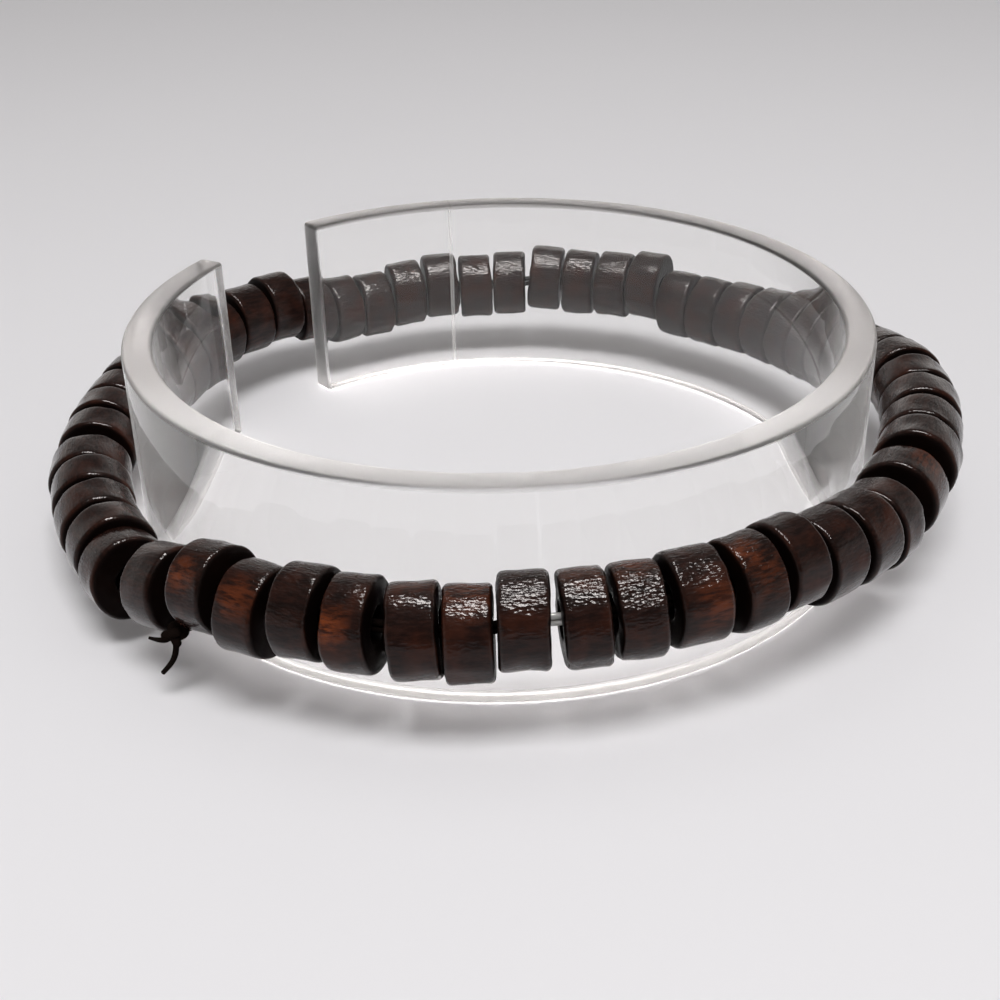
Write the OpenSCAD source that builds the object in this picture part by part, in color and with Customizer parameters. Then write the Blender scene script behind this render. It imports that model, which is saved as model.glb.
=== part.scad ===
// Stretch bracelet of drum-shaped wooden beads on a doubled elastic, held round the outside of a
// clear open display ring that stands on a table.
// Origin: middle of the base, on the surface that the ring stands on. +Z is up, -Y is the front.

/* [Display ring] */
// Outer diameter of the clear ring
ring_d = 60; // [58:0.5:60.5]
// Height of the clear ring
ring_h = 17; // [14:0.5:22]
// Thickness of its wall
ring_wall = 2.4; // [1.8:0.1:3]
// Rounding of the wall's edges
ring_edge_r = 0.4; // [0.2:0.1:0.8]
// Direction of the gap's middle, from +X towards +Y
gap_dir = 140; // [100:1:160]
// Width of the gap, as an angle
gap_angle = 24; // [15:1:40]

/* [Beads] */
// Thickness of an ordinary bead along the elastic
bead_t = 3.3; // [3.1:0.05:3.35]
// Diameter of an ordinary bead
bead_d = 6.5; // [6:0.1:6.6]
// Rounding of a bead's two rims
rim_r = 0.5; // [0.3:0.05:0.7]
// Diameter of the drilled hole
bore_d = 2.4; // [2.2:0.1:2.8]
// Least room between two beads
seam = 0.12; // [0.1:0.01:0.16]
// Direction of the bead beside the knot, from +X towards +Y
first_dir = 226; // [220:0.1:230]

/* [Elastic] */
// Thickness of one strand
strand_d = 0.45; // [0.35:0.05:0.5]
// Distance between the middles of the two strands
strand_gap = 0.5; // [0.5:0.05:0.6]
// Size of the knot
knot_d = 2; // [1.5:0.1:2.2]

/* [Hidden] */
$fn = 48;

// The line that the row of beads hangs along, every 30 degrees from +X towards +Y: the room
// between the ring and the beads, and the height of the beads' middle above the surface
ROOM = 0;
HEIGHT = 1;
row_chart = [
    [1.2, 8.9],
    [0.9, 7.0],
    [0.5, 6.8],
    [0.3, 6.9],
    [0.4, 6.5],
    [0.8, 7.0],
    [0.5, 6.3],
    [0.6, 5.5],
    [0.5, 8.2],
    [0.3, 9.0],
    [0.3, 9.2],
    [0.5, 8.8]
];

// The beads as they hang, from the knot round the front to the right. Each row is one bead: how
// much thicker and wider it is than an ordinary one, how far it is turned about the vertical
// from the row's run, how far its far end is tipped up, how far it sits above the row's line,
// how far it stands out from it, and the extra gap that follows it.
THICKER = 0;
WIDER = 1;
TURN = 2;
TIP = 3;
LIFT = 4;
OUT = 5;
GAP = 6;
front_chart = [
    [0.25, -0.2, 3, 0, -0.4, 0, 1.4],
    [-0.2, -0.1, 0, 0, 0.56, 0, 0],
    [-0.05, 0, 0, 0, -0.19, 0, 0.35],
    [-0.3, 0, 0, 0, 0.48, 0, 0],
    [-0.25, 0.1, 0, 0, 0.07, 0, 0],
    [-0.05, 0, 7, 0, -0.18, 0, 0],
    [-0.2, 0.1, 3, 0, -0.5, 0, 0],
    [0, 0.1, -1, 0, 0.39, 0, 0.35],
    [-0.3, 0.1, -4, 3, 0.3, 0, 0],
    [-0.2, 0, -6, 1, 0.37, 0, 0],
    [0.25, 0, -4, 0, 0.42, 0, 0],
    [-0.15, 0.1, 0, 0, 0.29, 0, 0],
    [-0.3, 0, 0, 0, 0.58, 0, 0],
    [0.05, 0, 0, 0, -0.11, 0, 0],
    [0.2, 0, 0, 0, -0.24, 0, 0],
    [-0.3, 0, 0, 0, -0.7, 0, 1.3],
    [0.2, 0, 0, 0, -0.4, 0, 0.6],
    [0.15, 0, 0, 0, 0.2, 0.2, 0],
    [0.15, 0, 0, 0, 0.1, 0, 0],
    [0.1, 0, 0, 0, 0.2, 0, 0],
    [0.1, 0, 0, 0, 0.1, 0, 0]
];
// The beads behind the clear ring, on from there to the left
back_chart = [
    [0, 0, 0, 0, 0.2, 0, 0],
    [0.1, -0.1, 0, 0, 0, 0, 0],
    [-0.1, -0.2, 0, 0, 0, 0, 0],
    [0, -0.3, 0, 0, 0, 0, 0],
    [0, -0.4, 0, 0, -0.1, 0, 0],
    [0.05, -0.45, 0, 0, -0.3, 0, 0],
    [0, -0.5, 0, 0, -0.4, 0, 0],
    [-0.05, -0.45, 0, 0, -0.5, 0, 0],
    [0, -0.5, 0, 0, -0.4, 0, 0],
    [0, -0.35, 0, 0, 0.8, 0, 0],
    [0.1, -0.45, 0, 0, 0.45, 0, 0],
    [-0.1, -0.4, 0, 1, 0.35, 0, 0],
    [0, -0.45, 0, 4, 0.6, 0, 0.15],
    [0, -0.5, 0, -1, 0, 0, 0],
    [0, -0.4, 0, 0, -0.2, 0, 0],
    [0.1, -0.45, 0, 0, 0.2, 0, 0],
    [0, -0.4, 0, 0, -0.1, 0, 0],
    [-0.1, -0.5, 0, 0, -0.6, 0, 0],
    [-0.3, -0.45, 0, 0, -0.4, 0, 0],
    [-0.3, -0.3, 0, 0, 0.1, 0, 0],
    [0, 0.2, 0, 0, 1, 0, 0],
    [0.15, 0.1, 0, 0, 0.6, 0, 0],
    [0.15, 0, 0, 0, 0.2, 0, 0],
    [0.15, -0.1, 0, 0, 0, 0, 0],
    [0.15, -0.2, 0, 0, 0, 0, 0],
    [0, -0.2, 0, 0, 0, 0, 0]
];
// The beads of the left side, on from there to the knot
left_chart = [
    [-0.05, 0, 0, 0, -0.2, 0, 0],
    [-0.25, 0, 0, 0, -0.1, 0, 0],
    [-0.1, 0, 0, 0, -0.3, 0, 0.9],
    [0.15, 0, 0, 0, -0.3, 0.2, 0],
    [0.05, 0, 0, 0, 0, 0, 0],
    [0.15, 0, 0, 0, 0, 0, 0],
    [-0.2, 0, 0, 0, 0, 0, 0],
    [-0.2, 0, -3, 0, -0.6, 0.2, 1.9]
];

// Where every bead sits
ring_r = ring_d / 2;
snug = ring_r + bead_d / 2;
face_r = bead_d / 2 - rim_r;
bore_r = bore_d / 2;
beads = concat(front_chart, back_chart, left_chart);
count = len(beads);
row_step = 360 / len(row_chart);

function mix(a, b, t) = a * (1 - t) + b * t;
function ease(t) = (1 - cos(180 * t)) / 2;
function wrap(a) = (a + 540) % 360 - 180;
function row_at(a, column) =
    let (q = a / row_step, i = floor(q), m = len(row_chart))
    mix(row_chart[i % m][column], row_chart[(i + 1) % m][column], ease(q - i));
// A point of the row's line, the line's direction seen from above, and how steeply it climbs
function row_line(a) =
    let (r = snug + row_at(a, ROOM))
    [r * cos(a), r * sin(a), row_at(a, HEIGHT)];
function run(a) = row_line(a + 2) - row_line(a - 2);
function run_dir(a) = atan2(run(a)[1], run(a)[0]);
function run_slope(a) = atan2(run(a)[2], norm([run(a)[0], run(a)[1]]));

// Each bead takes as much of the turn as its thickness, the gap after it and its lean need
function evenly(i) = first_dir + i * 360 / count;
function bend(i, j) = wrap(run_dir(evenly(j)) + beads[j][TURN] - run_dir(evenly(i)) - beads[i][TURN]);
function nod(i, j) = run_slope(evenly(j)) + beads[j][TIP] - run_slope(evenly(i)) - beads[i][TIP];
function mean_t(i, j) = bead_t + (beads[i][THICKER] + beads[j][THICKER]) / 2;
function pitch(i) =
    let (j = (i + 1) % count)
    mean_t(i, j) * cos(run_slope(evenly(i))) + seam + beads[i][GAP]
    + 2 * face_r * tan(norm([bend(i, j), nod(i, j)]) / 2);
shares = [for (i = [0:count - 1]) pitch(i) / (snug + row_at(evenly(i) + 180 / count, ROOM))];
sums = [for (i = 0, s = 0; i <= count; s = s + (i < count ? shares[i] : 0), i = i + 1) s];
dirs = [for (i = [0:count - 1]) first_dir + 360 * sums[i] / sums[count]];
function bead_out(i) =
    snug * (1 / cos(beads[i][TURN]) - 1) + max(0, beads[i][WIDER] / 2) + beads[i][OUT];
function bead_mid(i) =
    let (a = dirs[i], r = snug + row_at(a, ROOM) + bead_out(i))
    [r * cos(a), r * sin(a), row_at(a, HEIGHT) + beads[i][LIFT]];

// The elastic runs through the middles of the beads, with their ups and downs evened out
mids = [for (i = [0:count - 1]) bead_mid(i)];
cord = [for (i = [0:count - 1]) (mids[(i + count - 1) % count] + 4 * mids[i] + mids[(i + 1) % count]) / 6];
// The knot hangs out of the wide gap between the first two beads
knot_mid = mix(cord[0], cord[1], 0.5) + [-1, -2.85, -2];
// One tail points to the left, the other hangs down
tail_side = [[-0.2, 0, -0.1], [-0.7, 0.1, -0.52], [-1.25, 0.15, -0.55], [-1.9, 0.15, -0.35]];
tail_down = [[0.1, 0.05, -0.2], [-0.15, 0, -1], [-0.6, 0, -1.95], [-1.1, 0, -3.15]];

// A tube along a list of points, closed up or with flat ends
function unit(v) = v / norm(v);
function ahead(path, i, shut) =
    let (m = len(path))
    shut ? path[(i + 1) % m] - path[(i + m - 1) % m] : path[min(i + 1, m - 1)] - path[max(i - 1, 0)];
module tube(path, sizes, shut = false, sides = 8) {
    m = len(path);
    points = [
        for (i = [0:m - 1])
            let (t = unit(ahead(path, i, shut)), side = unit(cross(t, [0, 0, 1])), top = cross(side, t))
                for (k = [0:sides - 1])
                    let (a = 360 * (k + 0.5) / sides)
                        path[i] + sizes[i] / 2 * (cos(a) * side + sin(a) * top)
    ];
    walls = [
        for (i = [0:m - (shut ? 1 : 2)])
            for (k = [0:sides - 1])
                let (j = (i + 1) % m, l = (k + 1) % sides)
                    [i * sides + k, i * sides + l, j * sides + l, j * sides + k]
    ];
    ends = shut ? [] : [
        [for (k = [sides - 1:-1:0]) k],
        [for (k = [0:sides - 1]) (m - 1) * sides + k]
    ];
    polyhedron(points, concat(walls, ends), convexity = 8);
}

// Clear ring with a gap in it and rounded edges
module display_ring() {
    inner_r = ring_r - ring_wall;
    e = ring_edge_r;
    color([0.9, 0.93, 0.95, 0.35])
    rotate([0, 0, gap_dir + gap_angle / 2])
    rotate_extrude(angle = 360 - gap_angle, $fn = 144) {
        translate([inner_r + e, 0])
            square([ring_wall - 2 * e, ring_h]);
        translate([inner_r, e])
            square([ring_wall, ring_h - 2 * e]);
        for (x = [inner_r + e, ring_r - e], y = [e, ring_h - e])
            translate([x, y])
                circle(e);
    }
}

// One drum with a drilled hole and rounded rims, its hole along Z
module bead(t, d) {
    rotate_extrude() {
        translate([bore_r, -t / 2])
            square([d / 2 - rim_r - bore_r, t]);
        translate([bore_r, rim_r - t / 2])
            square([d / 2 - bore_r, t - 2 * rim_r]);
        for (y = [rim_r - t / 2, t / 2 - rim_r])
            translate([d / 2 - rim_r, y])
                circle(rim_r);
    }
}

module placed_bead(i) {
    yaw = run_dir(dirs[i]) + beads[i][TURN];
    tip = run_slope(dirs[i]) + beads[i][TIP];
    translate(mids[i])
        rotate([0, 0, yaw])
            rotate([0, 90 - tip, 0])
                bead(bead_t + beads[i][THICKER], bead_d + beads[i][WIDER]);
}

// The beads of the front and both sides
module front_beads() {
    color([0.2, 0.12, 0.09]) {
        for (i = [0:len(front_chart) - 1])
            placed_bead(i);
        for (i = [count - len(left_chart):count - 1])
            placed_bead(i);
    }
}

// The beads behind the clear ring
module back_beads() {
    color([0.18, 0.11, 0.08])
    for (i = [len(front_chart):count - len(left_chart) - 1])
        placed_bead(i);
}

// Two strands through every bead, the knot that ties them and its two cut tails
module elastic_cord() {
    half = [0, 0, strand_gap / 2];
    root = mix(cord[0], cord[1], 0.5);
    loop_size = [for (p = cord) strand_d];
    color([0.2, 0.19, 0.19]) {
        for (s = [-1, 1]) {
            tube([for (p = cord) p + s * half], loop_size, true);
            tube([root + s * half, mix(root, knot_mid, 0.5) + s * half, knot_mid], [strand_d, strand_d, strand_d]);
        }
        translate(knot_mid)
            rotate([0, 0, 230])
                scale([0.95, 0.8, 0.8])
                    sphere(knot_d / 2, $fn = 24);
        tube([for (p = tail_side) knot_mid + p], [0.45, 0.42, 0.34, 0.22]);
        tube([for (p = tail_down) knot_mid + p], [0.45, 0.45, 0.42, 0.38]);
    }
}

display_ring();
front_beads();
back_beads();
elastic_cord();
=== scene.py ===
# %% [markdown]
# # A bracelet of dark wooden beads on a clear display ring
# The real thing is a row of small drilled drums of varnished wood on two strands of elastic. A
# clear ring with a gap in it holds the bracelet open on a table. This lesson dresses the plain
# solids of the same object with shapes and finishes, one piece at a time.

# %% Load the solids
import math
import random

import bmesh
import bpy
from mathutils import Matrix, Vector, noise


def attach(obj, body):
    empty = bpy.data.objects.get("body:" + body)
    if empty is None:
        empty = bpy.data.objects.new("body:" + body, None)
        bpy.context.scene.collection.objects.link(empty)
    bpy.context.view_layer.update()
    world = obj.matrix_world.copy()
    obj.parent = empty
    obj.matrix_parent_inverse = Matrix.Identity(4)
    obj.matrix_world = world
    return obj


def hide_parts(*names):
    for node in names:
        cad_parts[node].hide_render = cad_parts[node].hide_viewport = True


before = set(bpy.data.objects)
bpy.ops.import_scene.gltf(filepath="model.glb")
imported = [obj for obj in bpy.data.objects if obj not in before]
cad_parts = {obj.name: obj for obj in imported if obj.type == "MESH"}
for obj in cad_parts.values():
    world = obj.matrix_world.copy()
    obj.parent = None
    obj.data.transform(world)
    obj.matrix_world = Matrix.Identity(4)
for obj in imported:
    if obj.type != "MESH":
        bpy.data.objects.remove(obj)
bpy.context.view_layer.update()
scene = bpy.context.scene
MM = 0.001
UP = Vector((0, 0, 1))


# %% [markdown]
# ## The camera
# A picture's viewpoint can be found by eye or by fitting the outline of something round. Here the
# two rims of the clear ring, which are true circles, gave the height, the distance and the lens.
# The camera is rolled by a little more than a degree, as a camera held by hand is.

# %% Camera
LOOKS_DOWN = math.radians(29.33)
LOOKS_AT = Vector((-0.18, -0.40, -0.43)) * MM
DISTANCE = 125.8 * MM
ROLL = math.radians(-1.23)
LENS, SENSOR_WIDE = 52.12, 36
NEAREST = 0.005

camera = bpy.data.objects.new("camera", bpy.data.cameras.new("camera"))
scene.collection.objects.link(camera)
camera.data.sensor_width = SENSOR_WIDE
camera.data.lens = LENS
camera.data.clip_start = NEAREST
stands_at = LOOKS_AT + Vector((0, -math.cos(LOOKS_DOWN), math.sin(LOOKS_DOWN))) * DISTANCE
tilt = Matrix.Rotation(math.radians(90) - LOOKS_DOWN, 4, "X")
camera.matrix_world = Matrix.Translation(stands_at) @ tilt @ Matrix.Rotation(ROLL, 4, "Z")
scene.camera = camera
print("camera stands", round(stands_at.length / MM), "mm from the ring's middle")

# %% [markdown]
# ## Node helpers
# Materials and Geometry Nodes are both built from nodes that are linked to each other. A few small
# helpers keep the later cells short: each adds one kind of node that comes up all the time, and
# every input takes either a plain value or what comes out of another node.

# %% Node helpers
def put(tree, socket, value):
    if isinstance(value, bpy.types.NodeSocket):
        tree.links.new(value, socket)
    else:
        socket.default_value = value


def add(tree, kind, inputs=None, **settings):
    node = tree.nodes.new(kind)
    for name, value in settings.items():
        setattr(node, name, value)
    for name, value in (inputs or {}).items():
        put(tree, node.inputs[name], value)
    return node


def maths(tree, operation, *values, clamp=False):
    inputs = dict(enumerate(values))
    return add(tree, "ShaderNodeMath", inputs, operation=operation, use_clamp=clamp).outputs[0]


def ramp(tree, value, low, high, to_low=0.0, to_high=1.0):
    inputs = {"Value": value, "From Min": low, "From Max": high, "To Min": to_low, "To Max": to_high}
    return add(tree, "ShaderNodeMapRange", inputs, interpolation_type="SMOOTHSTEP").outputs[0]


def blend(tree, factor, first, second):
    return add(tree, "ShaderNodeMix", {0: factor, 6: first, 7: second}, data_type="RGBA").outputs[2]


def attribute(tree, name, output="Fac"):
    return add(tree, "ShaderNodeAttribute", attribute_name=name).outputs[output]


def new_finish(name):
    finish = bpy.data.materials.new(name)
    finish.use_nodes = True
    return finish, finish.node_tree, finish.node_tree.nodes["Principled BSDF"]


def set_up(tree, node, values):
    for name, value in values.items():
        put(tree, node.inputs[name], value)

# %% [markdown]
# ## The table and the light
# The bracelet stands on a pale, smooth surface. A long light above is there for the highlights on
# the upper shoulders of the beads alone, so diffuse surfaces don't see it. A softer one in front of
# the object puts its short shadow behind the lowest beads, and a wide one with the bright
# surroundings fills the rest; these two are hidden from mirroring. The pale table is mirrored in
# the varnish, which is why the undersides of the dark beads look grey.

# %% Table
BELOW = -0.02 * MM
HALF_TABLE = 1.5

table_mesh = bpy.data.meshes.new("table_top")
corners = [(x * HALF_TABLE, y * HALF_TABLE, BELOW) for x, y in ((-1, -1), (1, -1), (1, 1), (-1, 1))]
table_mesh.from_pydata(corners, [], [(0, 1, 2, 3)])
table_top = bpy.data.objects.new("table_top", table_mesh)
scene.collection.objects.link(table_top)
pale, pale_tree, pale_shader = new_finish("pale_table")
on_table = add(pale_tree, "ShaderNodeTexCoord").outputs["Object"]
clouds = add(pale_tree, "ShaderNodeTexNoise", {"Vector": on_table, "Scale": 9.0, "Detail": 2.0})
set_up(pale_tree, pale_shader, {
    "Base Color": blend(pale_tree, clouds.outputs[0], (0.80, 0.80, 0.825, 1), (0.83, 0.83, 0.855, 1)),
    "Roughness": 0.55,
    "Specular IOR Level": 0.05,
})
table_mesh.materials.append(pale)

# %% Lamps
WARM = (1.0, 0.985, 0.98)
WARMER = (1.0, 0.95, 0.93)


def soft_box(name, at, size, power, colour, hidden_from):
    lamp = bpy.data.lights.new(name, "AREA")
    lamp.shape = "RECTANGLE"
    lamp.size, lamp.size_y = size
    lamp.energy = power
    lamp.color = colour
    box = bpy.data.objects.new(name, lamp)
    scene.collection.objects.link(box)
    turned = Vector(at).to_track_quat("Z", "Y").to_matrix().to_4x4()
    box.matrix_world = Matrix.Translation(at) @ turned
    for rays in hidden_from:
        setattr(box, "visible_" + rays, False)


soft_box("light_above", (0.02, 0.02, 0.50), (0.34, 0.085), 4.0, WARMER, ("diffuse", "transmission"))
soft_box("light_front", (0.02, -0.21, 0.46), (0.24, 0.13), 1.7, WARM, ("glossy", "transmission"))
soft_box("light_wide", (0.0, -0.06, 0.55), (1.0, 0.9), 0.85, WARM, ("glossy", "transmission"))

# %% Surroundings
EVERYWHERE = 0.135
GREEN_SHARE, BLUE_SHARE = 0.955, 0.925
BOUNCES = 28

world = bpy.data.worlds.new("bright_room")
world.use_nodes = True
sky = world.node_tree
direction = add(sky, "ShaderNodeTexCoord").outputs["Generated"]
looks = add(sky, "ShaderNodeSeparateXYZ", {"Vector": direction})
low_down = ramp(sky, maths(sky, "ABSOLUTE", looks.outputs["Z"]), 0.10, 0.70, 1.0, 0.0)
to_side = ramp(sky, maths(sky, "ABSOLUTE", looks.outputs["X"]), 0.35, 0.85, 0.0, 0.55)
behind = ramp(sky, looks.outputs["Y"], 0.3, 0.9, 0.0, 0.75)
bands = maths(sky, "MULTIPLY", low_down, maths(sky, "MAXIMUM", to_side, behind))
glow = maths(sky, "ADD", bands, EVERYWHERE)
sky_colour = add(sky, "ShaderNodeCombineColor", {
    "Red": glow,
    "Green": maths(sky, "MULTIPLY", glow, GREEN_SHARE),
    "Blue": maths(sky, "MULTIPLY", glow, BLUE_SHARE),
})
sky.links.new(sky_colour.outputs[0], sky.nodes["Background"].inputs["Color"])
scene.world = world
scene.view_settings.view_transform = "Standard"
scene.cycles.max_bounces = scene.cycles.transmission_bounces = BOUNCES
print("surroundings:", world.name, "with", len(sky.nodes), "nodes")

# %% [markdown]
# ## Where the beads are
# The solids already hold every bead in its place, so nothing has to be placed by hand again. Each
# bead is a loose island of faces, and its two flat ends are its largest flat areas, so their
# direction is the direction of the drilled hole. Measuring along it and across it gives the middle,
# the thickness and the width.

# %% Measure the beads
SAME_POINT = 2e-6
KNOT_AT = 222


def bead_islands(node):
    shape = bmesh.new()
    shape.from_mesh(node.data)
    bmesh.ops.remove_doubles(shape, verts=shape.verts, dist=SAME_POINT)
    shape.faces.ensure_lookup_table()
    left = set(shape.faces)
    while left:
        island, edge_of_it = set(), [left.pop()]
        while edge_of_it:
            face = edge_of_it.pop()
            island.add(face)
            for edge in face.edges:
                for other in edge.link_faces:
                    if other in left:
                        left.remove(other)
                        edge_of_it.append(other)
        yield island
    shape.free()


def measure_bead(island):
    flat_areas = {}
    for face in island:
        normal = face.normal if face.normal.x > 0 else -face.normal
        key = tuple(round(c, 2) for c in normal)
        total = flat_areas.setdefault(key, [0.0, Vector()])
        total[0] += face.calc_area()
        total[1] += face.calc_area() * normal
    axis = max(flat_areas.values(), key=lambda total: total[0])[1].normalized()
    across = axis.cross(UP).normalized()
    sides = (axis, across, axis.cross(across))
    points = [vert.co for vert in {v for face in island for v in face.verts}]
    spans = [(min(p.dot(d) for p in points), max(p.dot(d) for p in points)) for d in sides]
    middle = sum((d * (low + high) / 2 for d, (low, high) in zip(sides, spans)), Vector())
    if middle.cross(axis).z < 0:
        axis = -axis
    thick, wide = (high - low for low, high in spans[:2])
    return {"middle": middle, "axis": axis, "thick": thick, "wide": wide}


beads = []
for name in ("front_beads", "back_beads"):
    for island in bead_islands(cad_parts[name]):
        bead = measure_bead(island)
        bead["row"] = name
        direction = math.degrees(math.atan2(bead["middle"].y, bead["middle"].x))
        bead["turn"] = (direction - KNOT_AT) % 360
        beads.append(bead)
beads.sort(key=lambda bead: bead["turn"])
for number, bead in enumerate(beads):
    bead["number"] = number
thicknesses = [round(bead["thick"] / MM, 2) for bead in beads]
print(len(beads), "beads,", min(thicknesses), "to", max(thicknesses), "mm thick")

# %% [markdown]
# ## One bead
# A bead like this is turned on a lathe, drilled and tumbled, so its rims are rounded and the mouth
# of the hole is a little worn. The same can be done here: draw half the outline and spin it. The
# outline goes round the wood once, from the hole over one end, the side and the other end.

# %% Turn one bead
BEAD_WIDE, BEAD_THICK, HOLE_WIDE = 6.5, 3.3, 2.4
RIM, RIM_STEPS = 0.42, 8
BULGE = 0.012
BEAD_SIDES = 64


def bead_outline():
    half, side, hole = BEAD_THICK / 2, BEAD_WIDE / 2, HOLE_WIDE / 2
    line = [(hole, 0), (hole, half - 0.3), (hole + 0.05, half - 0.14), (hole + 0.16, half - 0.05),
            (hole + 0.34, half - 0.02), (hole + 0.8, half - 0.01), (side - RIM - 0.2, half)]
    for step in range(RIM_STEPS + 1):
        a = math.radians(90 - 90 * step / RIM_STEPS)
        line.append((side - BULGE - RIM + RIM * math.cos(a), half - RIM + RIM * math.sin(a)))
    line += [(side - BULGE / 3, half - RIM - 0.3), (side, 0.3)]
    return line + [(r, -h) for r, h in reversed(line[1:])]


def face_outwards(mesh):
    shape = bmesh.new()
    shape.from_mesh(mesh)
    bmesh.ops.recalc_face_normals(shape, faces=shape.faces)
    shape.to_mesh(mesh)
    shape.free()


def turn_on_lathe(name, outline, sides):
    turns = [math.tau * k / sides for k in range(sides)]
    points = [(r * math.cos(a) * MM, r * math.sin(a) * MM, h * MM) for a in turns for r, h in outline]
    n = len(outline)
    faces = []
    for k in range(sides):
        here, there = k * n, (k + 1) % sides * n
        faces += [(here + i, there + i, there + (i + 1) % n, here + (i + 1) % n) for i in range(n)]
    mesh = bpy.data.meshes.new(name)
    mesh.from_pydata(points, [], faces)
    face_outwards(mesh)
    return mesh


bead_mesh = turn_on_lathe("bead_blank", bead_outline(), BEAD_SIDES)
blank = bpy.data.objects.new("bead_blank", bead_mesh)
print("one bead has", len(bead_mesh.polygons), "faces")

# %% [markdown]
# ## The varnished wood
# The wood is stained a very dark brown and varnished. The stain took less well in places, which
# show red-brown. The grain runs along the hole, and the varnish has sunk into its pores, so a
# highlight breaks up into a net of small bright flecks. The flat ends and the hole have no varnish
# and are painted near-black: partly the darker end grain, partly painted shade between the close
# beads and inside the hole. All patterns are laid out in each bead's own measure, in millimetres,
# which travels with the bead as an attribute, and each bead starts its patterns somewhere else, so
# that no two are alike.

# %% Dark varnished wood
STAINED_DARKEST = (0.0070, 0.0029, 0.0022, 1)
STAINED_DARK = (0.0185, 0.0070, 0.0049, 1)
STAINED_RED = (0.048, 0.0125, 0.0055, 1)
BARE_WOOD = (0.150, 0.034, 0.0088, 1)
# Near-black for the flat ends and the hole: the darker end grain, with painted shade where the beads stand close
# and inside the hole
END_GRAIN_AND_SHADE = (0.0028, 0.0016, 0.0014, 1)


def make_dark_wood():
    finish, tree, shader = new_finish("dark_varnished_wood")
    here = attribute(tree, "on_bead", "Vector")
    warm = attribute(tree, "warm")
    wrinkled = attribute(tree, "wrinkled")
    start = maths(tree, "MULTIPLY", attribute(tree, "bead_number"), 3.71)

    def vector_maths(operation, inputs):
        return add(tree, "ShaderNodeVectorMath", inputs, operation=operation)

    def pattern(scale, detail, stretch, rough, offset):
        laid = add(tree, "ShaderNodeMapping", {"Vector": here, "Scale": stretch}).outputs[0]
        own_place = maths(tree, "ADD", start, offset)
        inputs = {"Vector": laid, "W": own_place, "Scale": scale, "Detail": detail, "Roughness": rough}
        return add(tree, "ShaderNodeTexNoise", inputs, noise_dimensions="4D").outputs[0]

    # The colour: two dark stains in streaks, red blotches, and bare wood in the charted patches
    streaks = pattern(1.4, 5.0, (2.2, 2.2, 0.6), 0.6, 0.0)
    blotches = pattern(0.42, 3.0, (1, 1, 1), 0.55, 11.0)
    fibres = pattern(5.0, 3.0, (2.2, 2.2, 0.4), 0.6, 23.0)
    waves = pattern(1.5, 1.5, (1.5, 1.5, 0.8), 0.5, 31.0)
    dark = blend(tree, ramp(tree, streaks, 0.36, 0.66), STAINED_DARKEST, STAINED_DARK)
    red = blend(tree, ramp(tree, blotches, 0.46, 0.68, 0.0, 0.45), dark, STAINED_RED)
    streaky = ramp(tree, streaks, 0.38, 0.60, 0.12, 1.0)
    bare = blend(tree, maths(tree, "MULTIPLY", warm, streaky, clamp=True), red, BARE_WOOD)

    # The flat ends and the hole, found by the distance from the middle and from the hole's line, lose the varnish
    # and get the near-black of end grain with painted shade
    height = add(tree, "ShaderNodeSeparateXYZ", {"Vector": here}).outputs["Z"]
    flattened = vector_maths("MULTIPLY", {0: here, 1: (1, 1, 0)}).outputs[0]
    from_line = vector_maths("LENGTH", {0: flattened}).outputs["Value"]
    on_end = maths(tree, "MULTIPLY", ramp(tree, maths(tree, "ABSOLUTE", height), 1.30, 1.52, 0.0, 0.93),
                   ramp(tree, from_line, 2.95, 3.2, 1.0, 0.0))
    unvarnished_and_shaded = maths(tree, "MAXIMUM", on_end, ramp(tree, from_line, 1.3, 1.7, 1.0, 0.0))
    varnished = maths(tree, "SUBTRACT", 1.0, unvarnished_and_shaded)

    # The relief of the varnish: wide waves, a net of small cells and fine fibres
    swirl = add(tree, "ShaderNodeTexNoise", {"Vector": here, "Scale": 2.6, "Detail": 2.0})
    bent = vector_maths("SCALE", {0: swirl.outputs["Color"], "Scale": 0.22}).outputs[0]
    laid = add(tree, "ShaderNodeMapping", {"Vector": here, "Scale": (1.0, 1.0, 0.38)}).outputs[0]
    shaken = vector_maths("ADD", {0: laid, 1: bent}).outputs[0]
    moved = vector_maths("ADD", {0: shaken, 1: start}).outputs[0]
    cells = add(tree, "ShaderNodeTexVoronoi", {"Vector": moved, "Scale": 5.2}).outputs["Distance"]
    coarse = maths(tree, "MULTIPLY", waves, maths(tree, "MULTIPLY", wrinkled, 0.6))
    fine = maths(tree, "MULTIPLY", cells, maths(tree, "MULTIPLY", wrinkled, 1.25))
    grain = maths(tree, "MULTIPLY", fibres, 0.05)
    relief = maths(tree, "ADD", maths(tree, "ADD", coarse, fine), grain)
    relief = maths(tree, "MULTIPLY", relief, varnished)
    bump = add(tree, "ShaderNodeBump", {"Strength": 0.7, "Distance": 0.05 * MM, "Height": relief})

    set_up(tree, shader, {
        "Base Color": blend(tree, unvarnished_and_shaded, bare, END_GRAIN_AND_SHADE),
        "Roughness": ramp(tree, fibres, 0.35, 0.65, 0.46, 0.32),
        "Specular IOR Level": 0.03,
        "Coat Weight": varnished,
        "Coat Roughness": 0.11,
        "Coat IOR": 1.27,
        "Normal": bump.outputs[0],
        "Coat Normal": bump.outputs[0],
    })
    return finish


dark_wood = make_dark_wood()
print("finish:", dark_wood.name, "with", len(dark_wood.node_tree.nodes), "nodes")

# %% [markdown]
# ## The rows of beads
# Fifty-five beads of nearly the same shape could be copied one by one, but a Geometry Nodes tree
# says the rule once: put a bead on each point, turn it along the elastic, stretch it to its own
# size, and then make its surface a little uneven, each bead in its own way. The points come from
# the measured places.

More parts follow.
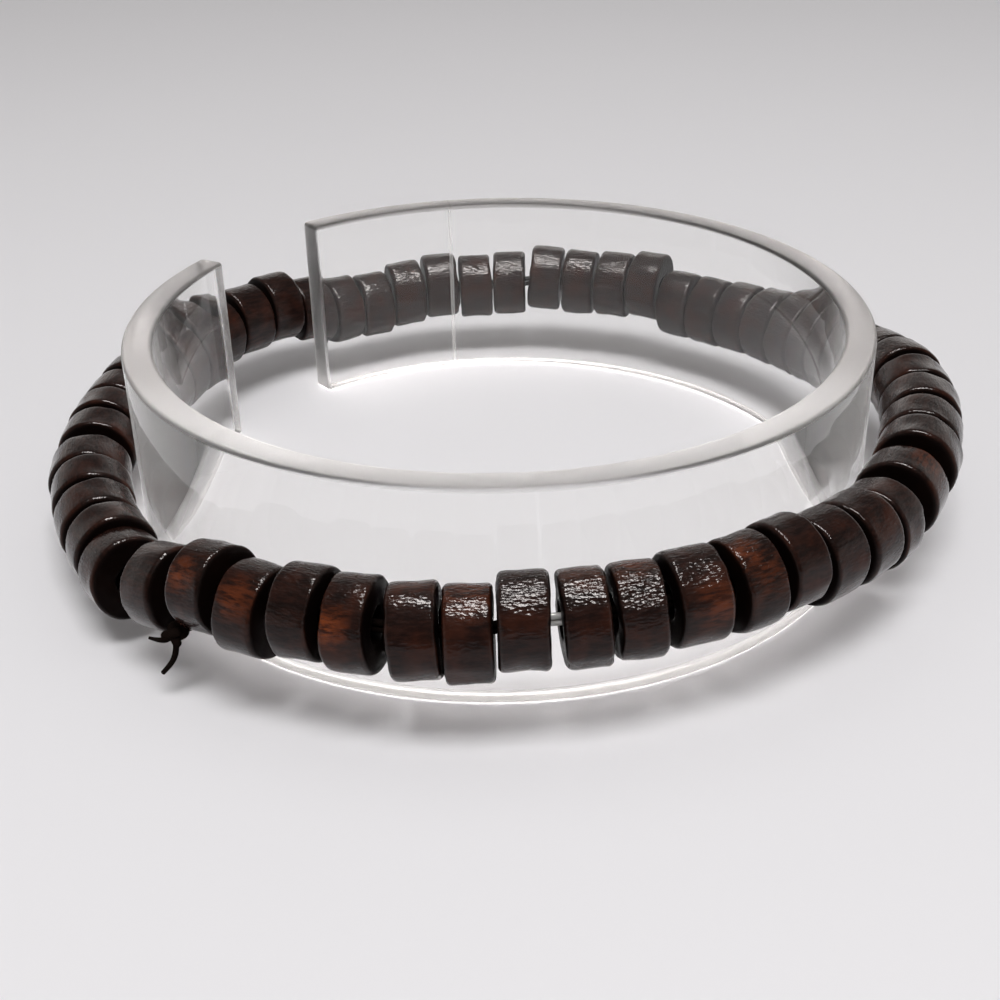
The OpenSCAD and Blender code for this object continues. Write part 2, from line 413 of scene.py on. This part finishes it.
# %% The bead row tree
def new_tree(name, inputs):
    tree = bpy.data.node_groups.new(name, "GeometryNodeTree")
    keys = {}
    for label, kind in inputs.items():
        socket = tree.interface.new_socket(name=label, in_out="INPUT", socket_type="NodeSocket" + kind)
        keys[label] = socket.identifier
    tree.interface.new_socket(name="Result", in_out="OUTPUT", socket_type="NodeSocketGeometry")
    return tree, keys, tree.nodes.new("NodeGroupInput"), tree.nodes.new("NodeGroupOutput")


def finish_off(tree, shape, finish, result):
    smooth = add(tree, "GeometryNodeSetShadeSmooth", {"Geometry": shape}).outputs[0]
    dressed = add(tree, "GeometryNodeSetMaterial", {"Geometry": smooth, "Material": finish})
    tree.links.new(dressed.outputs[0], result.inputs[0])


def read(tree, name, kind="FLOAT"):
    return add(tree, "GeometryNodeInputNamedAttribute", {"Name": name}, data_type=kind).outputs[0]


def make_bead_row_tree():
    tree, keys, given, result = new_tree("bead_row", {
        "Places": "Geometry", "Bead": "Object", "Unevenness": "Float", "Start": "Float", "Wood": "Material"})
    bead = add(tree, "GeometryNodeObjectInfo", {"Object": given.outputs["Bead"]})
    position = add(tree, "GeometryNodeInputPosition").outputs[0]
    in_mm = add(tree, "ShaderNodeVectorMath", {0: position, "Scale": 1 / MM}, operation="SCALE")
    marked = add(tree, "GeometryNodeStoreNamedAttribute", {"Geometry": bead.outputs["Geometry"], "Name": "on_bead"},
                 data_type="FLOAT_VECTOR", domain="POINT")
    tree.links.new(in_mm.outputs[0], marked.inputs["Value"])

    hole_axis = read(tree, "hole_axis", "FLOAT_VECTOR")
    along = add(tree, "FunctionNodeAlignRotationToVector", {"Vector": hole_axis}, axis="Z")
    spin = add(tree, "FunctionNodeAxisAngleToRotation", {"Axis": (0, 0, 1), "Angle": read(tree, "spin")})
    turned = add(tree, "FunctionNodeRotateRotation", {"Rotation": along.outputs[0], "Rotate By": spin.outputs[0]},
                 rotation_space="LOCAL")
    strung = add(tree, "GeometryNodeInstanceOnPoints", {
        "Points": given.outputs["Places"],
        "Instance": marked.outputs[0],
        "Rotation": turned.outputs[0],
        "Scale": read(tree, "stretch", "FLOAT_VECTOR"),
    })
    solid = add(tree, "GeometryNodeRealizeInstances", {"Geometry": strung.outputs[0]})

    own = maths(tree, "ADD", maths(tree, "MULTIPLY", read(tree, "bead_number"), 5.3), given.outputs["Start"])
    on_bead = read(tree, "on_bead", "FLOAT_VECTOR")
    waves = add(tree, "ShaderNodeTexNoise", {"Vector": on_bead, "W": own, "Scale": 0.42, "Detail": 1.5},
                noise_dimensions="4D")
    how_deep = ramp(tree, waves.outputs[0], 0.25, 0.6, -1.0, 0.0)
    inwards = maths(tree, "MULTIPLY", how_deep, given.outputs["Unevenness"])
    normal = add(tree, "GeometryNodeInputNormal").outputs[0]
    push = add(tree, "ShaderNodeVectorMath", {0: normal, "Scale": inwards}, operation="SCALE")
    worn = add(tree, "GeometryNodeSetPosition", {"Geometry": solid.outputs[0], "Offset": push.outputs[0]})
    finish_off(tree, worn.outputs[0], given.outputs["Wood"], result)
    return tree, keys


bead_row_tree, bead_row_keys = make_bead_row_tree()
print("tree:", bead_row_tree.name, "inputs", list(bead_row_keys))

# %% [markdown]
# ## Threading the beads
# Each row is a cloud of points that carry what the tree needs to know of each bead. How wrinkled
# the varnish is was charted for the beads at the front, because the highlights there show it, and
# is left to chance for all others. The beads are a little thicker than the solids, so that they
# look as if they touched.

# %% Thread the beads
WRINKLED = {0: 0.4, 1: 0.8, 2: 0.8, 3: 0.9, 4: 0.85, 5: 0.6, 6: 0.75, 7: 1.0, 8: 0.95, 9: 1.3,
            10: 0.95, 11: 1.15, 12: 0.4, 13: 0.6, 14: 0.55}
LEAST_BY_CHANCE, MOST_BY_CHANCE = 0.2, 0.5
MORE_AT_BACK = 0.35
CLOSER = 0.12 * MM
UNEVENNESS = 0.15 * MM
CHANCE = 7


def point_cloud(name, points, **values):
    mesh = bpy.data.meshes.new(name)
    mesh.from_pydata(points, [], [])
    for label, column in values.items():
        is_vector = isinstance(column[0], (tuple, Vector))
        layer = mesh.attributes.new(label, "FLOAT_VECTOR" if is_vector else "FLOAT", "POINT")
        for item, value in zip(layer.data, column):
            setattr(item, "vector" if is_vector else "value", value)
    return mesh


def run_tree(thing, tree, keys, **values):
    scene.collection.objects.link(thing)
    worker = thing.modifiers.new("maker", "NODES")
    worker.node_group = tree
    for label, value in values.items():
        worker[keys[label]] = value
    graph = bpy.context.evaluated_depsgraph_get()
    graph.update()
    made = thing.evaluated_get(graph)
    plain = bpy.data.meshes.new_from_object(made, preserve_all_data_layers=True, depsgraph=graph)
    thing.modifiers.clear()
    thing.data = plain
    plain.name = thing.name
    return thing


def stretch_of(bead):
    wide = bead["wide"] / BEAD_WIDE / MM
    return wide, wide, (bead["thick"] + CLOSER) / BEAD_THICK / MM


def thread_row(row):
    chosen = [bead for bead in beads if bead["row"] == row]
    draw = random.Random(CHANCE)
    spins = [draw.uniform(0, math.tau) for _ in chosen]
    wrinkles = []
    for bead in chosen:
        by_chance = draw.uniform(LEAST_BY_CHANCE, MOST_BY_CHANCE) + (MORE_AT_BACK if row == "back_beads" else 0)
        wrinkles.append(WRINKLED.get(bead["number"], by_chance))
    places = point_cloud(row + "_places", [bead["middle"] for bead in chosen],
                         hole_axis=[bead["axis"] for bead in chosen],
                         spin=spins,
                         wrinkled=wrinkles,
                         bead_number=[float(bead["number"]) for bead in chosen],
                         stretch=[stretch_of(bead) for bead in chosen])
    return run_tree(bpy.data.objects.new(row + "_worn", places), bead_row_tree, bead_row_keys,
                    Bead=blank, Unevenness=UNEVENNESS, Start=2.0, Wood=dark_wood)


front_row = thread_row("front_beads")
back_row = thread_row("back_beads")
for row in (front_row, back_row):
    print(row.name, "has", len(row.data.polygons), "faces")

# %% [markdown]
# ## Flat places
# Most beads of the front were ground a little flat on one side before they were varnished. Each
# flat is a line in a chart: which bead, how far round it in degrees from straight out towards the
# top, and how deep in millimetres. Every point of the bead that lies beyond the flat is pressed
# back onto it.

# %% Press the flats
flats = [
    (0, 58, 0.08), (1, 60, 0.12), (2, 58, 0.12), (3, 60, 0.12), (4, 58, 0.10), (5, 60, 0.03),
    (6, 60, 0.05), (6, -24, 0.16), (7, 58, 0.10), (8, 56, 0.10), (9, 52, 0.17), (10, 60, 0.09),
    (10, -4, 0.08), (11, 58, 0.12), (12, 8, 0.10), (13, 22, 0.14),
]


def way_round(bead, degrees):
    out = Vector((bead["middle"].x, bead["middle"].y, 0)).normalized()
    out = (out - bead["axis"] * out.dot(bead["axis"])).normalized()
    up = out.cross(bead["axis"]).normalized()
    if up.z < 0:
        up = -up
    return out * math.cos(math.radians(degrees)) + up * math.sin(math.radians(degrees))


def bead_numbers(thing):
    return [round(item.value) for item in thing.data.attributes["bead_number"].data]


def press_flats(thing):
    numbers = bead_numbers(thing)
    for number, degrees, depth in flats:
        bead = beads[number]
        towards = way_round(bead, degrees)
        reach = bead["wide"] / 2 - depth * MM
        for vert in thing.data.vertices:
            if numbers[vert.index] == number:
                beyond = (vert.co - bead["middle"]).dot(towards) - reach
                if beyond > 0:
                    vert.co -= towards * beyond


press_flats(front_row)
print(len(flats), "flats pressed")

# %% [markdown]
# ## Where the varnish is smooth
# The varnish was still wet when the beads were laid out to dry, so it ran together on what is now
# the lower half of each bead and lies smooth there. The share of wrinkles that each point carries
# is lowered by how far its surface looks down.

# %% Smooth the undersides
KEPT_BELOW = 0.22
STARTS_AT, FULL_AFTER = -0.05, 0.5


def smooth_undersides(thing):
    for vert, item in zip(thing.data.vertices, thing.data.attributes["wrinkled"].data):
        looks_up = min(1.0, max(0.0, (vert.normal.z - STARTS_AT) / FULL_AFTER))
        item.value *= KEPT_BELOW + (1 - KEPT_BELOW) * looks_up


for row in (front_row, back_row):
    smooth_undersides(row)
print("wrinkles kept on the upper halves")

# %% [markdown]
# ## Bare patches in the stain
# A few beads show the wood through the stain. They could be left to chance, but the eye notices
# where they are, so the most visible ones are charted: which bead, how far round it from straight
# out towards the top, how far along it as a share of its thickness, how large in millimetres and
# how strong. Each point of the mesh keeps its share as an attribute that the wood's material reads.

# %% Chart of bare patches
bare_patches = [
    (1, 42, -0.12, 1.3, 0.75),
    (2, 44, 0.0, 1.6, 0.6),
    (4, 28, -0.28, 1.35, 1.0),
    (5, 100, 0.0, 1.6, 0.25),
    (6, 88, 0.05, 2.2, 0.45),
    (8, 95, 0.1, 1.6, 0.35),
    (9, 98, 0.0, 1.5, 0.5),
    (10, 18, 0.18, 1.6, 0.5),
    (11, 72, -0.25, 1.4, 0.55),
    (11, 40, 0.1, 1.6, 0.3),
    (16, 60, 0.2, 1.6, 0.4),
    (41, 40, 0.0, 2.2, 0.5),
    (49, 20, 0.0, 1.8, 0.4),
]
PATCH_EDGE = 1.25
FRAYED, FRAY_SIZE = 0.35, 0.5 * MM


def place_patches():
    for number, degrees, along, size, strength in bare_patches:
        bead = beads[number]
        on_side = bead["middle"] + way_round(bead, degrees) * bead["wide"] / 2
        yield number, on_side + bead["axis"] * along * bead["thick"], size * MM, strength


def paint_warmth(thing):
    layer = thing.data.attributes.new("warm", "FLOAT", "POINT")
    spots = list(place_patches())
    for vert, item, number in zip(thing.data.vertices, layer.data, bead_numbers(thing)):
        warmth = 0.0
        for spot_number, at, size, strength in spots:
            if spot_number == number:
                away = (vert.co - at).length / size + FRAYED * noise.noise(vert.co / FRAY_SIZE)
                warmth = max(warmth, strength * min(1.0, max(0.0, PATCH_EDGE - away)))
        item.value = warmth


for row in (front_row, back_row):
    paint_warmth(row)
print(len(bare_patches), "bare patches")

# %% [markdown]
# ## The clear ring
# The ring is cut from a clear acrylic tube, with a gap so that it can be squeezed. Its sawn rims
# and ends are only lightly polished, so they look even and whitish beside the clear wall, and the
# material finds them by their height and by how near they are to the gap. A little sheen stands for
# the fine scratches on the wall, most of them in the front half. The foot, both sides of the front
# and one thin upright line in the back are a little cloudy. Towards the back the wall mirrors less,
# so that the beads behind it stay dark.

# %% Clear acrylic
RING_OUT, RING_HIGH, RING_WALL = 30.0, 17.0, 2.4
GAP_MIDDLE, GAP_WIDE = 140.0, 24.0
LINE_AT = 99.2
SAWN, FOOT_SMOOTHER, RUBBED = 0.42, 0.17, 0.02
CLEAR = (0.992, 0.990, 0.982, 1)
GREY = (0.29, 0.28, 0.27, 1)


def make_clear_acrylic():
    finish, tree, shader = new_finish("clear_acrylic")
    here = add(tree, "ShaderNodeTexCoord").outputs["Object"]
    place = add(tree, "ShaderNodeSeparateXYZ", {"Vector": here})
    x, y, z = place.outputs
    turn = maths(tree, "ARCTAN2", y, x)

    def away_from(degrees):
        return maths(tree, "ABSOLUTE", maths(tree, "SUBTRACT", turn, math.radians(degrees)))

    def strongest(*values):
        most = values[0]
        for value in values[1:]:
            most = maths(tree, "MAXIMUM", most, value)
        return most

    def towards_back(at_front, at_back):
        return ramp(tree, to_back, 0.0, 1.0, at_front, at_back)

    # Where each part of the ring is
    on_top = ramp(tree, z, 16.6 * MM, 16.8 * MM)
    on_foot = ramp(tree, z, 0.2 * MM, 0.4 * MM, 1.0, 0.0)
    on_cut = ramp(tree, away_from(GAP_MIDDLE), math.radians(12.3), math.radians(12.6), 1.0, 0.0)
    to_back = ramp(tree, y, -3 * MM, 8 * MM)

    # How cloudy it is: the upright line, the sides of the front and the foot
    on_line = ramp(tree, away_from(LINE_AT), math.radians(0.12), math.radians(0.3), 0.25, 0.0)
    at_sides = maths(tree, "MULTIPLY", ramp(tree, maths(tree, "ABSOLUTE", x), 19 * MM, 27 * MM, 0.0, 0.08),
                     ramp(tree, y, -3 * MM, 5 * MM, 1.0, 0.0))
    at_foot = maths(tree, "MULTIPLY", on_foot, towards_back(0.45, 0.1))
    clouded = strongest(on_line, at_sides, at_foot)

    # How matt it is: the sawn faces, a little less on the foot, and faint rubbed places on the wall
    sawn = strongest(on_top, on_foot, on_cut)
    sawn_matt = maths(tree, "SUBTRACT", SAWN, maths(tree, "MULTIPLY", on_foot, FOOT_SMOOTHER))
    rubs = add(tree, "ShaderNodeTexNoise", {"Vector": here, "Scale": 220.0, "Detail": 3.0}).outputs[0]
    matt = maths(tree, "ADD", maths(tree, "MULTIPLY", sawn, sawn_matt), ramp(tree, rubs, 0.4, 0.75, 0.0, RUBBED))

    # The top rim is greyer, least at the very front, and has neither sheen nor much gloss
    greyed = maths(tree, "MULTIPLY", on_top, ramp(tree, y, -27 * MM, -10 * MM, 0.3, 1.0))
    below_top = maths(tree, "SUBTRACT", 1.0, on_top)
    ripple = add(tree, "ShaderNodeTexNoise", {"Vector": here, "Scale": 60.0}).outputs[0]
    bump = add(tree, "ShaderNodeBump", {"Strength": 0.12, "Distance": 0.2 * MM, "Height": ripple})

    set_up(tree, shader, {
        "Base Color": blend(tree, greyed, CLEAR, GREY),
        "Roughness": matt,
        "IOR": 1.49,
        "Transmission Weight": maths(tree, "SUBTRACT", 0.995, clouded),
        "Specular IOR Level": ramp(tree, on_top, 0.0, 1.0, 0.14, 0.02),
        "Specular Tint": towards_back(1.0, 0.58),
        "Sheen Weight": maths(tree, "MULTIPLY", towards_back(0.5, 0.1), below_top),
        "Sheen Roughness": 0.35,
        "Normal": bump.outputs[0],
    })
    return finish


acrylic = make_clear_acrylic()
print("finish:", acrylic.name, "with", len(acrylic.node_tree.nodes), "nodes")

# %% [markdown]
# ## The ring's shape
# The shape could be a tube with a piece cut out of it, but clear plastic shows every facet, so it is
# swept: a rounded slab of wall, stood up at many close steps round the circle, and drawn in over the
# last few steps so that the cut ends are softly rounded too. Light passes a clear ring almost as if
# it weren't there, so the ring casts no shadow.

# %% Sweep the ring
EDGE, EDGE_STEPS = 0.35, 4
RING_STEPS = 260


def quarter(first):
    return [math.radians(first + 90 * step / EDGE_STEPS) for step in range(EDGE_STEPS + 1)]


def wall_outline(drawn_in):
    low, high = RING_OUT - RING_WALL + drawn_in + EDGE, RING_OUT - drawn_in - EDGE
    bottom, top = drawn_in + EDGE, RING_HIGH - drawn_in - EDGE
    line = []
    for r, z, first in ((high, top, 0), (low, top, 90), (low, bottom, 180), (high, bottom, 270)):
        line += [(r + EDGE * math.cos(a), z + EDGE * math.sin(a)) for a in quarter(first)]
    return line


def ring_stops():
    whole = 360 - GAP_WIDE
    ends = [(math.degrees(EDGE * (1 - math.cos(a)) / RING_OUT), EDGE * (1 - math.sin(a))) for a in quarter(0)]
    between = [(whole * k / RING_STEPS, 0.0) for k in range(2, RING_STEPS - 1)]
    return ends + between + [(whole - turn, drawn_in) for turn, drawn_in in reversed(ends)]


def sweep_ring(name):
    first = GAP_MIDDLE + GAP_WIDE / 2
    stops = ring_stops()
    points, faces = [], []
    for turn, drawn_in in stops:
        a = math.radians(first + turn)
        points += [(r * math.cos(a) * MM, r * math.sin(a) * MM, z * MM) for r, z in wall_outline(drawn_in)]
    n = len(wall_outline(0))
    last = (len(stops) - 1) * n
    for here in range(0, last, n):
        there = here + n
        faces += [(here + i, here + (i + 1) % n, there + (i + 1) % n, there + i) for i in range(n)]
    faces += [tuple(reversed(range(n))), tuple(last + i for i in range(n))]
    mesh = bpy.data.meshes.new(name)
    mesh.from_pydata(points, [], faces)
    face_outwards(mesh)
    mesh.polygons.foreach_set("use_smooth", [True] * len(mesh.polygons))
    mesh.materials.append(acrylic)
    ring = bpy.data.objects.new(name, mesh)
    scene.collection.objects.link(ring)
    ring.visible_shadow = False
    return ring


clear_ring = sweep_ring("clear_ring")
print("clear ring has", len(clear_ring.data.polygons), "faces")

# %% [markdown]
# ## The elastic
# Jewellery elastic is a smooth, glossy grey cord. Two strands run through every hole and show where
# two beads stand apart. Its colour holds painted light and shade: in the narrow gaps and at the knot
# it is painted nearly black as shade, and only the widest gap, where light falls on it, is painted
# light grey, so every point carries a value that says how much painted shade it gets. A strand
# follows the middles of the beads, with their ups and downs evened out as a pulled cord would do.
# The tree turns a line of points into a curve, and the curve into a round cord whose thickness each
# point may change.

# %% Smoky elastic
def make_smoky_elastic():
    finish, tree, shader = new_finish("smoky_elastic")
    here = add(tree, "ShaderNodeTexCoord").outputs["Object"]
    fine = add(tree, "ShaderNodeTexNoise", {"Vector": here, "Scale": 900.0, "Detail": 2.0}).outputs[0]
    light = blend(tree, fine, (0.66, 0.65, 0.63, 1), (0.85, 0.84, 0.82, 1))
    stained = attribute(tree, "stained")
    set_up(tree, shader, {
        # Painted light and shade: light grey where the cord is lit, near-black as painted shade in the gaps and at
        # the knot
        "Base Color": blend(tree, stained, light, (0.0075, 0.0050, 0.0042, 1)),
        "Roughness": 0.2,
        "Specular IOR Level": ramp(tree, stained, 0.0, 1.0, 0.5, 0.0),
        "Coat Weight": ramp(tree, stained, 0.0, 1.0, 0.4, 0.0),
        "Coat Roughness": 0.1,
    })
    return finish


smoky = make_smoky_elastic()
print("finish:", smoky.name, "with", len(smoky.node_tree.nodes), "nodes")

# %% The strand tree
def make_strand_tree():
    tree, keys, given, result = new_tree("elastic_strand", {
        "Path": "Geometry", "Thickness": "Float", "Sides": "Int", "Points": "Int", "Elastic": "Material"})
    line = add(tree, "GeometryNodeMeshToCurve", {"Mesh": given.outputs["Path"]})
    bent = add(tree, "GeometryNodeCurveSplineType", {"Curve": line.outputs[0]}, spline_type="CATMULL_ROM")
    even = add(tree, "GeometryNodeResampleCurve", {"Curve": bent.outputs[0], "Count": given.outputs["Points"]})
    size = maths(tree, "MULTIPLY", read(tree, "thick"), given.outputs["Thickness"])
    circle = add(tree, "GeometryNodeCurvePrimitiveCircle", {"Resolution": given.outputs["Sides"], "Radius": 1.0})
    cord = add(tree, "GeometryNodeCurveToMesh", {
        "Curve": even.outputs[0],
        "Profile Curve": circle.outputs[0],
        "Scale": maths(tree, "MULTIPLY", size, 0.5),
        "Fill Caps": True,
    })
    real = add(tree, "GeometryNodeRealizeInstances", {"Geometry": cord.outputs[0]})
    finish_off(tree, real.outputs[0], given.outputs["Elastic"], result)
    return tree, keys


strand_tree, strand_keys = make_strand_tree()
print("tree:", strand_tree.name, "inputs", list(strand_keys))

# %% Run the strands
STRAND, STRAND_GAP = 0.45 * MM, 0.5 * MM
STRAND_SIDES = 12
LOOP_POINTS = 330


def strand(name, points, thick, closed, count):
    mesh = bpy.data.meshes.new(name)
    n = len(points)
    mesh.from_pydata(points, [(i, (i + 1) % n) for i in range(n if closed else n - 1)], [])
    layer = mesh.attributes.new("thick", "FLOAT", "POINT")
    for item, value in zip(layer.data, thick):
        item.value = value
    return run_tree(bpy.data.objects.new(name, mesh), strand_tree, strand_keys,
                    Thickness=STRAND, Sides=STRAND_SIDES, Points=count, Elastic=smoky)


middles = [bead["middle"] for bead in beads]
evened = [(middles[i - 1] + 4 * middles[i] + middles[(i + 1) % len(middles)]) / 6 for i in range(len(middles))]
half_gap = UP * (STRAND_GAP / 2)
strands = [
    strand("strand_" + word, [p + side * half_gap for p in evened], [1.0] * len(evened), True, LOOP_POINTS)
    for word, side in (("low", -1), ("high", 1))
]
print("strands:", [len(s.data.polygons) for s in strands], "faces")

# %% [markdown]
# ## The knot and its tails
# The two strands are tied where the first two beads stand apart, and the cut tails stick out, one
# to the side and one down. The knot is one cord wound over and under itself three times, pulled
# tight; the tails get thinner where they were stretched and cut.

# %% Tie the knot
KNOT_POINTS = 48
KNOT_SIZE = 1.05 * MM
KNOT_THICK = 1.4
KNOT_OUT, KNOT_UP, KNOT_ALONG = 0.21, 0.19, 0.36

root = (evened[0] + evened[1]) / 2
knot_middle = root + Vector((-0.8, -2.85, -1.9)) * MM
radial = Vector((knot_middle.x, knot_middle.y, 0)).normalized()
sideways = UP.cross(radial)


def knot_path():
    path = []
    for k in range(KNOT_POINTS):
        t = math.tau * k / KNOT_POINTS
        out, up = math.sin(t) + 2 * math.sin(2 * t), math.cos(t) - 2 * math.cos(2 * t)
        along = -math.sin(3 * t)
        wound = radial * out * KNOT_OUT + UP * up * KNOT_UP + sideways * along * KNOT_ALONG
        path.append(knot_middle + wound * KNOT_SIZE)
    return path


def lead(name, side):
    points = [root + side * half_gap, root.lerp(knot_middle, 0.5) + side * half_gap, knot_middle]
    return strand(name, points, [1.0, 1.0, 1.0], False, 16)


def tail(name, steps, thick, count):
    return strand(name, [knot_middle + Vector(step) * MM for step in steps], thick, False, count)


knot_parts = [
    strand("knot_turns", knot_path(), [KNOT_THICK] * KNOT_POINTS, True, 120),
    lead("knot_lead_low", -1),
    lead("knot_lead_high", 1),
    tail("tail_side", [(-0.2, 0, -0.1), (-0.7, 0.1, -0.52), (-1.25, 0.15, -0.55), (-1.9, 0.15, -0.35)],
         [1.0, 0.9, 0.75, 0.45], 24),
    tail("tail_down", [(-0.1, 0.05, -0.2), (-0.1, 0, -1.2), (-0.45, 0, -2.2), (-1.25, 0, -3.2)],
         [0.8, 0.95, 0.9, 0.75], 28),
]
print("knot and tails:", [len(part.data.polygons) for part in knot_parts], "faces")

# %% [markdown]
# ## One piece of elastic
# The strands, the knot and the tails are one thing, so they are joined into one mesh. The stretch
# painted light grey, as the lit part of the cord, is the one between the two beads that stand widest
# apart at the front; all the rest is painted dark as shade.

# %% Join the elastic
LIGHT_GAP = (7, 8)
LIGHT_REACH = 0.75 * MM

joined = bmesh.new()
for part in strands + knot_parts:
    joined.from_mesh(part.data)
bmesh.ops.recalc_face_normals(joined, faces=joined.faces)
elastic_mesh = bpy.data.meshes.new("tied_elastic")
joined.to_mesh(elastic_mesh)
joined.free()
# Painted shade: every point outside the widest gap is marked for near-black shade; the stretch in that gap stays
# lit grey
light_middle = (evened[LIGHT_GAP[0]] + evened[LIGHT_GAP[1]]) / 2
painted_shade_layer = elastic_mesh.attributes.new("stained", "FLOAT", "POINT")
for vert, item in zip(elastic_mesh.vertices, painted_shade_layer.data):
    item.value = 0.0 if (vert.co - light_middle).length < LIGHT_REACH else 1.0
elastic_mesh.polygons.foreach_set("use_smooth", [True] * len(elastic_mesh.polygons))
elastic_mesh.materials.clear()
elastic_mesh.materials.append(smoky)
for part in strands + knot_parts:
    bpy.data.objects.remove(part)
tied_elastic = bpy.data.objects.new("tied_elastic", elastic_mesh)
scene.collection.objects.link(tied_elastic)
print("tied elastic has", len(elastic_mesh.polygons), "faces")

# %% [markdown]
# ## Hand over the pieces
# Every piece rides on the one body of the object, and the solid it stands for is hidden.

# %% Hand over
for piece, node, finish_slot in (
    (front_row, "front_beads", "dark_wood"),
    (back_row, "back_beads", "dark_wood"),
    (clear_ring, "display_ring", "clear_acrylic"),
    (tied_elastic, "elastic_cord", "elastic"),
):
    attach(piece, "root")
    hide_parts(node)
    print(piece.name, "stands for", node)
